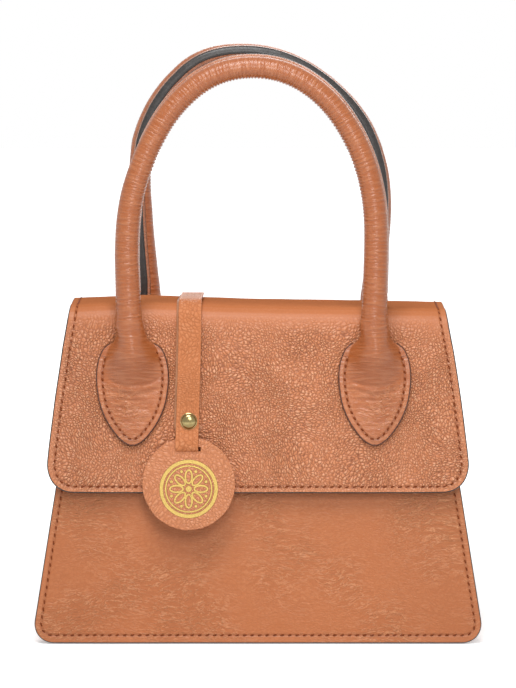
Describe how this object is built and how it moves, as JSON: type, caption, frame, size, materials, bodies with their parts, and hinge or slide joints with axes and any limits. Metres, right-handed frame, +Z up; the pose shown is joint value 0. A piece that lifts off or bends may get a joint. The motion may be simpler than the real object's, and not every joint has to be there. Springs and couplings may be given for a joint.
{
  "type": "handbag",
  "caption": "Structured trapezoid handbag with a full front flap, rolled arched handles on pointed sewn tabs, and a round hang tag on a folded strap.",
  "frame": {"origin": "on the floor under the middle of the whole bag, midway between the two handles", "axes": "+X to the right as the flap is faced, the flap and the hang tag face -Y, +Z up"},
  "size_m": [0.2254, 0.111, 0.3038],
  "materials": {
    "cognac_leather": "pebbled tan leather, semi-matt",
    "cognac_leather_flap": "pebbled tan leather, semi-matt",
    "cognac_leather_smooth": "tan leather, drawn smooth",
    "flap_suede": "suede",
    "lining_cloth": "woven cotton",
    "board": "leather fibre board",
    "handle_cord": "twisted cord",
    "brass": "polished"
  },
  "bodies": {
    "bag": {"front_panel": "cognac_leather", "back_panel": "cognac_leather", "gusset": "cognac_leather", "front_board": "board", "back_board": "board", "base_board": "board", "lining": "lining_cloth", "inner_pocket": "lining_cloth", "snap_socket": "brass", "snap_washer": "brass", "rear_tab_left": "cognac_leather_smooth", "rear_tab_right": "cognac_leather_smooth"},
    "flap": {"flap": "cognac_leather_flap", "flap_lining": "flap_suede", "snap_stud": "brass", "front_tab_left": "cognac_leather_smooth", "front_tab_right": "cognac_leather_smooth", "tag_strap_top": "cognac_leather_flap"},
    "front_handle": {"front_handle": "cognac_leather_smooth", "front_handle_core": "handle_cord"},
    "rear_handle": {"rear_handle": "cognac_leather_smooth", "rear_handle_core": "handle_cord"},
    "tag_strap": {"tag_strap": "cognac_leather_flap", "rivet_cap": "brass", "rivet_back": "brass"},
    "tag_disc": {"tag_disc_front": "cognac_leather", "tag_disc_back": "cognac_leather"}
  },
  "joints": [
    {"name": "flap_hinge", "type": "hinge", "parent": "bag", "child": "flap", "pos_m": [0, 0.03788, 0.1685], "axis": [-1, 0, 0], "range_deg": [0, 120]},
    {"name": "front_handle_fold", "type": "hinge", "parent": "flap", "child": "front_handle", "pos_m": [0, -0.04843, 0.15249], "axis": [1, 0, 0], "range_deg": [0, 90]},
    {"name": "rear_handle_fold", "type": "hinge", "parent": "bag", "child": "rear_handle", "pos_m": [0, 0.04843, 0.15997], "axis": [-1, 0, 0], "range_deg": [0, 90]},
    {"name": "tag_swing", "type": "hinge", "parent": "flap", "child": "tag_strap", "pos_m": [-0.0348, -0.0408, 0.16334], "axis": [-1, 0, 0], "range_deg": [0, 60]},
    {"name": "disc_swing", "type": "hinge", "parent": "tag_strap", "child": "tag_disc", "pos_m": [-0.0348, -0.04886, 0.10144], "axis": [-1, 0, 0], "range_deg": [0, 15]}
  ],
  "couplings": [
    {"joint": "rear_handle_fold", "follows": "flap_hinge", "ratio": 0.75}
  ]
}
